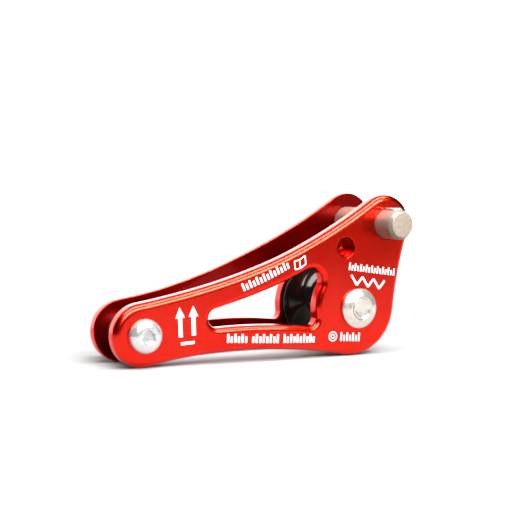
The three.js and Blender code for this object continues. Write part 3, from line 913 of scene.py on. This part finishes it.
for plate, side in (("front_plate", -1), ("rear_plate", 1)):
    piece = finished(plate + "_fine", plate_mesh(plate + "_fine", side), RED, "frame", "red_anodised", plate)
    # The second material is the painted shade for the recess's deep faces.
    piece.data.materials.append(RECESS_SHADE_RED)
finished("printed_marks", marks_mesh("printed_marks"), PRINT, "frame", "red_anodised")
turned_piece("friction_wheel", wheel_profile(), WHEEL, BLACK, "frame", "black_anodised", closed=True)
turned_piece("wheel_axle", axle_profile(), WHEEL, TURNED, "frame", "turned_steel")
turned_piece("axle_washer_front", washer_profile(-1), WHEEL, TURNED, "frame", "turned_steel", closed=True)
turned_piece("axle_washer_rear", washer_profile(1), WHEEL, TURNED, "frame", "turned_steel", closed=True)
turned_piece("tether_bolt", bolt_profile(), TETHER, BRIGHT, "frame", "bright_steel", steps=144)
bush = bolt_ring(BUSH_RADIUS, STACK_GAP - TETHER_HALF_GAP, TETHER_HALF_GAP - STACK_GAP, 0.4)
turned_piece("tether_bush", bush, TETHER, DARK, "frame", "dark_steel", closed=True)
washer_seat = TETHER_FACE + STACK_GAP
nut_washer = bolt_ring(NUT_WASHER_RADIUS, washer_seat, washer_seat + NUT_WASHER_THICKNESS, 0.2)
turned_piece("tether_nut_washer", nut_washer, TETHER, BRIGHT, "frame", "bright_steel", closed=True)
turned_piece("tether_nut", nut_profile(), TETHER, BRIGHT, "frame", "bright_steel", closed=True, steps=144)
collar_end = washer_seat + NUT_WASHER_THICKNESS + STACK_GAP + NUT_HEIGHT + COLLAR_HEIGHT
collar = bolt_ring(COLLAR_RADIUS, collar_end - COLLAR_HEIGHT + STACK_GAP, collar_end, 0.5)
turned_piece("tether_nut_collar", collar, TETHER, NYLON, "frame", "nylon", closed=True)
finished("lock_pin_fine", lock_pin_mesh(), BRUSHED, "lock_pin", "brushed_steel", "lock_pin")
finished("lock_pin_plunger_fine", plunger_mesh(), BRIGHT, "plunger", "bright_steel", "lock_pin_plunger")
for spring in ("plunger_spring_front", "plunger_spring_rear"):
    coil = frame["nodes"][spring]
    coil.material_slots[0].material = BRIGHT
    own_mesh(coil)


# ---- Stage --------------------------------------------------------------------------------------


def stage_mesh(name, points, faces, material):
    mesh = bpy.data.meshes.new(name)
    mesh.from_pydata(points, [], faces)
    mesh.materials.append(material)
    mesh.shade_smooth()
    obj = bpy.data.objects.new(name, mesh)
    bpy.context.collection.objects.link(obj)


def sweep():
    """A pale floor that curves up into a backdrop behind the part, with painted shade that makes it darker
    towards the front.
    """
    front, back, radius, height = -1.6, 1.6, 0.5, 1.6
    section = [(front, 0.0), (back - radius, 0.0)]
    section += [(back - radius + radius * math.sin(a), radius * (1 - math.cos(a)))
                for a in spaced(0.1, math.pi / 2, 16)]
    section.append((back, height))
    points = [(x, y, z) for y, z in section for x in (-2.2, 2.2)]
    faces = [(2 * k, 2 * k + 1, 2 * k + 3, 2 * k + 2) for k in range(len(section) - 1)]
    paper = Look("paper", 0.0, Specular_IOR_Level=0.0)
    split = paper.tree.nodes.new("ShaderNodeSeparateXYZ")
    paper.tree.links.new(paper.place, split.inputs["Vector"])
    # Painted shade: the floor's grey runs from 0.25 near the part down to 0.08 towards the front, and the
    # plates reflect that shade.
    paper.colour(paper.ramp(split.outputs["Y"], 0.08, 0.25, -0.55, -0.12))
    stage_mesh("sweep", points, faces, paper.material)


def area_light(name, place, target, size, power, colour=(1, 1, 1)):
    light = bpy.data.lights.new(name, "AREA")
    light.shape = "RECTANGLE"
    light.size, light.size_y = size
    light.energy = power
    light.color = colour
    obj = bpy.data.objects.new(name, light)
    obj.location = place
    obj.rotation_euler = (Vector(target) - Vector(place)).to_track_quat("-Z", "Y").to_euler()
    bpy.context.collection.objects.link(obj)


def ray(azimuth, elevation, distance):
    """A place seen from the part: azimuth 0 is towards -Y and 90 towards +X."""
    a, e = math.radians(azimuth), math.radians(elevation)
    return (distance * math.sin(a) * math.cos(e), -distance * math.cos(a) * math.cos(e),
            distance * math.sin(e) + 0.03)


def lights():
    middle = (0, 0, 0.03)
    cream = (1, 0.88, 0.76)
    area_light("panel_front", ray(0, 38, 0.9), middle, (1.0, 0.32), 27)
    area_light("panel_top", ray(0, 78, 0.9), middle, (1.2, 0.38), 28)
    area_light("panel_rear", ray(0, 133, 0.9), middle, (1.6, 0.55), 4, cream)
    area_light("front_fill", ray(32, 7, 1.2), middle, (1.0, 0.35), 0.5)
    area_light("backdrop_light", (0.5, 0.75, 0.95), (0.5, 1.5, 0.45), (3.6, 0.6), 330)


def world():
    sky = bpy.data.worlds.new("room")
    sky.use_nodes = True
    background = sky.node_tree.nodes["Background"]
    background.inputs["Color"].default_value = (0.9, 0.92, 1.0, 1)
    background.inputs["Strength"].default_value = 0.06
    bpy.context.scene.world = sky


def camera():
    """A camera at the photograph's viewing angle, aimed at a place on the front plate's outer face."""
    data = bpy.data.cameras.new("camera")
    data.sensor_width = 36.0
    data.lens = CAMERA_LENS
    data.clip_end = 20
    obj = bpy.data.objects.new("camera", data)
    bpy.context.collection.objects.link(obj)
    azimuth, elevation, roll = map(math.radians, (CAMERA_AZIMUTH, CAMERA_ELEVATION, CAMERA_ROLL))
    back = Vector((math.sin(azimuth) * math.cos(elevation), -math.cos(azimuth) * math.cos(elevation),
                   math.sin(elevation)))
    level = Vector((0, 0, 1)).cross(back).normalized()
    upright = back.cross(level)
    right = level * math.cos(roll) + upright * math.sin(roll)
    up = upright * math.cos(roll) - level * math.sin(roll)
    target = Vector((CAMERA_TARGET[0], MIDDLE_Y - OUTER_FACE, CAMERA_TARGET[1])) * MM
    place = target + back * CAMERA_DISTANCE * MM
    obj.matrix_world = Matrix((
        (right.x, up.x, back.x, place.x),
        (right.y, up.y, back.y, place.y),
        (right.z, up.z, back.z, place.z),
        (0, 0, 0, 1),
    ))
    bpy.context.scene.camera = obj


sweep()
lights()
world()
camera()
bpy.context.scene.view_settings.view_transform = "Standard"
